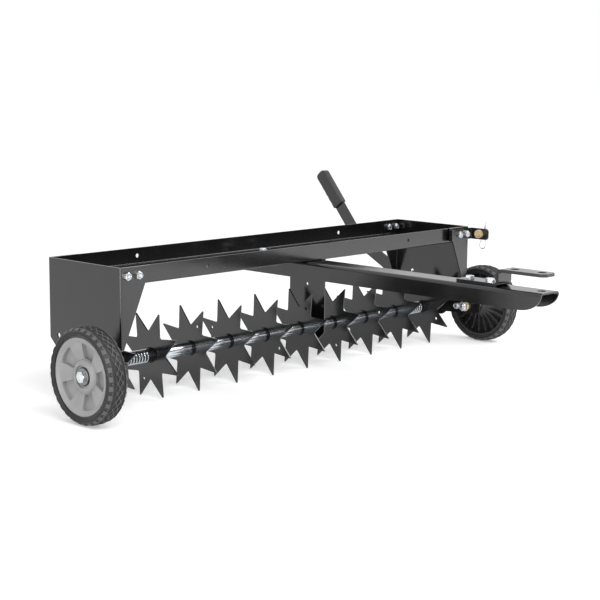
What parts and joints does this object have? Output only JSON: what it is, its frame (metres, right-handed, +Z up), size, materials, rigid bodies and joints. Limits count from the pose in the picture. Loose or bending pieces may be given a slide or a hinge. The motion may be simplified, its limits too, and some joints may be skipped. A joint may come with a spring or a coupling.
{
  "type": "tow-behind spike aerator",
  "caption": "Tow-behind lawn spike aerator: a weight tray on two end plates over a row of star discs, with a drawbar, a hitch clevis and two wheels swung down by a hand lever.",
  "frame": {"origin": "on the ground, under the middle of the outline's box", "axes": "+X to the machine's right seen from the tractor's seat facing forward, +Y to its rear, away from the tractor, +Z up"},
  "size_m": [1.198, 1.0301, 0.3729],
  "materials": {
    "black_powder_coat": "semi-gloss powder coat",
    "zinc_plate": "bright zinc plate",
    "gold_zinc": "yellow zinc plate",
    "bare_steel": "satin",
    "grip_rubber": "matte moulded",
    "tyre_rubber": "matte moulded",
    "rim_plastic": "satin moulded",
    "cover_plastic": "satin moulded",
    "bush_nylon": "satin moulded"
  },
  "bodies": {
    "frame": {"tray_pan": "black_powder_coat", "left_end_plate": "black_powder_coat", "right_end_plate": "black_powder_coat", "center_hanger": "black_powder_coat", "drawbar": "black_powder_coat", "hitch_plate": "black_powder_coat", "hitch_plate_bolts": "zinc_plate", "drawbar_bolts": "zinc_plate", "tray_corner_bolts": "zinc_plate", "hanger_bolts": "zinc_plate", "pin_holder": "black_powder_coat", "hitch_pin": "gold_zinc", "hairpin_clip": "zinc_plate"},
    "lift": {"disc_shaft": "bare_steel", "left_wheel_arm": "black_powder_coat", "right_wheel_arm": "black_powder_coat", "transport_lever": "black_powder_coat", "lever_grip": "grip_rubber", "arm_bolts": "zinc_plate", "left_axle_bolt": "zinc_plate", "right_axle_bolt": "zinc_plate", "left_axle_sleeve": "zinc_plate", "right_axle_sleeve": "zinc_plate", "axle_washers": "gold_zinc", "shaft_end_nuts": "zinc_plate", "lever_lock_stud": "zinc_plate", "left_spring": "zinc_plate", "right_spring": "zinc_plate", "end_spacers": "zinc_plate"},
    "disc_0": {"star_disc_0": "black_powder_coat"},
    "disc_1": {"star_disc_1": "black_powder_coat"},
    "disc_2": {"star_disc_2": "black_powder_coat", "spacer_tube_1": "zinc_plate"},
    "disc_3": {"star_disc_3": "black_powder_coat", "spacer_tube_2": "zinc_plate"},
    "disc_4": {"star_disc_4": "black_powder_coat", "spacer_tube_3": "zinc_plate"},
    "disc_5": {"star_disc_5": "black_powder_coat", "spacer_tube_4": "zinc_plate", "spacer_tube_5": "zinc_plate"},
    "disc_6": {"star_disc_6": "black_powder_coat", "spacer_tube_6": "zinc_plate"},
    "disc_7": {"star_disc_7": "black_powder_coat", "spacer_tube_7": "zinc_plate"},
    "disc_8": {"star_disc_8": "black_powder_coat", "spacer_tube_8": "zinc_plate"},
    "disc_9": {"star_disc_9": "black_powder_coat"},
    "left_wheel": {"left_tyre": "tyre_rubber", "left_rim": "rim_plastic", "left_wheel_cover": "cover_plastic", "left_wheel_bush": "bush_nylon"},
    "right_wheel": {"right_tyre": "tyre_rubber", "right_rim": "rim_plastic", "right_wheel_cover": "cover_plastic", "right_wheel_bush": "bush_nylon"}
  },
  "joints": [
    {"name": "lift_lever_swing", "type": "hinge", "parent": "frame", "child": "lift", "pos_m": [0, 0.1429, 0.08161], "axis": [1, 0, 0], "range_deg": [0, 20.6]},
    {"name": "disc_0_spin", "type": "hinge", "parent": "lift", "child": "disc_0", "pos_m": [0, 0.1429, 0.08161], "axis": [1, 0, 0], "continuous": true},
    {"name": "disc_1_spin", "type": "hinge", "parent": "lift", "child": "disc_1", "pos_m": [0, 0.1429, 0.08161], "axis": [1, 0, 0], "continuous": true},
    {"name": "disc_2_spin", "type": "hinge", "parent": "lift", "child": "disc_2", "pos_m": [0, 0.1429, 0.08161], "axis": [1, 0, 0], "continuous": true},
    {"name": "disc_3_spin", "type": "hinge", "parent": "lift", "child": "disc_3", "pos_m": [0, 0.1429, 0.08161], "axis": [1, 0, 0], "continuous": true},
    {"name": "disc_4_spin", "type": "hinge", "parent": "lift", "child": "disc_4", "pos_m": [0, 0.1429, 0.08161], "axis": [1, 0, 0], "continuous": true},
    {"name": "disc_5_spin", "type": "hinge", "parent": "lift", "child": "disc_5", "pos_m": [0, 0.1429, 0.08161], "axis": [1, 0, 0], "continuous": true},
    {"name": "disc_6_spin", "type": "hinge", "parent": "lift", "child": "disc_6", "pos_m": [0, 0.1429, 0.08161], "axis": [1, 0, 0], "continuous": true},
    {"name": "disc_7_spin", "type": "hinge", "parent": "lift", "child": "disc_7", "pos_m": [0, 0.1429, 0.08161], "axis": [1, 0, 0], "continuous": true},
    {"name": "disc_8_spin", "type": "hinge", "parent": "lift", "child": "disc_8", "pos_m": [0, 0.1429, 0.08161], "axis": [1, 0, 0], "continuous": true},
    {"name": "disc_9_spin", "type": "hinge", "parent": "lift", "child": "disc_9", "pos_m": [0, 0.1429, 0.08161], "axis": [1, 0, 0], "continuous": true},
    {"name": "left_wheel_spin", "type": "hinge", "parent": "lift", "child": "left_wheel", "pos_m": [-0.578, 0.0524, 0.088], "axis": [1, 0, 0], "continuous": true},
    {"name": "right_wheel_spin", "type": "hinge", "parent": "lift", "child": "right_wheel", "pos_m": [0.578, 0.0524, 0.088], "axis": [1, 0, 0], "continuous": true}
  ]
}
